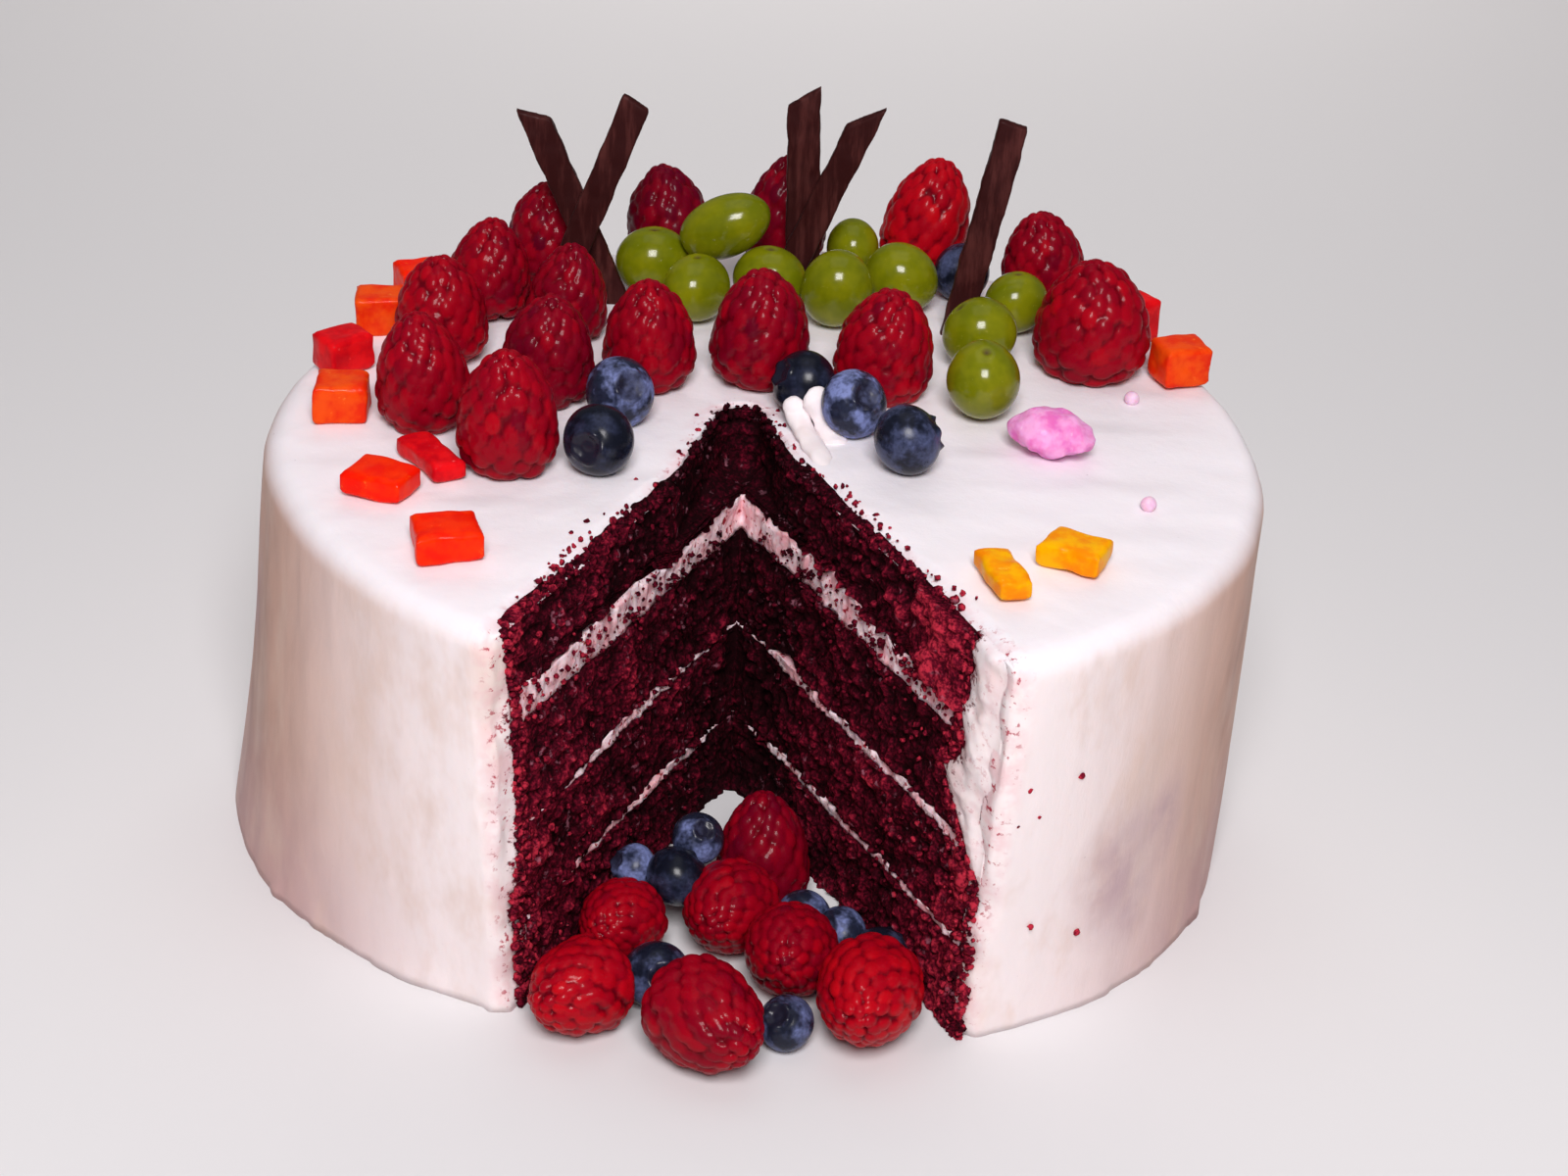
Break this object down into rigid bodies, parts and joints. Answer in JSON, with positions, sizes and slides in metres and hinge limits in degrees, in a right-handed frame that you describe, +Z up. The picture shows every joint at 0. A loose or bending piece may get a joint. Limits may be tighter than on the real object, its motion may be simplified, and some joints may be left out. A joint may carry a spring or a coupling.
{
  "type": "red velvet cake",
  "caption": "Round iced red velvet layer cake with a wedge cut out, crowned with berries, grapes, candied dice and chocolate sticks, with berries lying in the cut.",
  "frame": {"origin": "on the axis of the round cake, at the level that it stands on", "axes": "+Z up, -Y towards the open side of the wedge that is cut out, +X to the right seen from there"},
  "size_m": [0.2291, 0.2207, 0.1502],
  "materials": {
    "icing": "cream cheese icing, satin, spread by spatula",
    "sponge": "dark red crumb, dull and open",
    "cream": "cream filling tinted by crumb",
    "raspberry": "juicy drupelets with a soft gloss",
    "blueberry": "blue-black skin with a pale bloom",
    "grape": "translucent green skin, glossy",
    "chocolate": "dark chocolate with a faint sheen",
    "dice_orange_red": "candied fruit, translucent",
    "dice_orange": "candied fruit, translucent",
    "dice_red": "candied fruit, translucent",
    "dice_yellow": "candied fruit, translucent",
    "candy": "pink sugar candy"
  },
  "bodies": {
    "root": {"icing": "icing", "sponge_1": "sponge", "sponge_2": "sponge", "sponge_3": "sponge", "sponge_4": "sponge", "cream_1": "cream", "cream_2": "cream", "cream_3": "cream", "raspberry_1": "raspberry", "raspberry_2": "raspberry", "raspberry_3": "raspberry", "raspberry_4": "raspberry", "raspberry_5": "raspberry", "raspberry_6": "raspberry", "raspberry_7": "raspberry", "raspberry_8": "raspberry", "raspberry_9": "raspberry", "raspberry_10": "raspberry", "raspberry_11": "raspberry", "raspberry_12": "raspberry", "raspberry_13": "raspberry", "raspberry_14": "raspberry", "raspberry_15": "raspberry", "blueberry_1": "blueberry", "blueberry_2": "blueberry", "blueberry_3": "blueberry", "blueberry_4": "blueberry", "blueberry_5": "blueberry", "blueberry_6": "blueberry", "grape_1": "grape", "grape_2": "grape", "grape_3": "grape", "grape_4": "grape", "grape_5": "grape", "grape_6": "grape", "grape_7": "grape", "grape_8": "grape", "grape_9": "grape", "grape_10": "grape", "chocolate_stick_1": "chocolate", "chocolate_stick_2": "chocolate", "chocolate_stick_3": "chocolate", "chocolate_stick_4": "chocolate", "chocolate_stick_5": "chocolate", "fruit_dice_1": "dice_orange_red", "fruit_dice_2": "dice_orange", "fruit_dice_3": "dice_red", "fruit_dice_4": "dice_orange", "fruit_dice_5": "dice_orange_red", "fruit_dice_6": "dice_orange_red", "fruit_dice_7": "dice_red", "fruit_dice_8": "dice_yellow", "fruit_dice_9": "dice_yellow", "fruit_dice_10": "dice_orange", "fruit_dice_11": "dice_red", "sugar_candy": "candy", "cut_berries": "raspberry"}
  },
  "joints": []
}
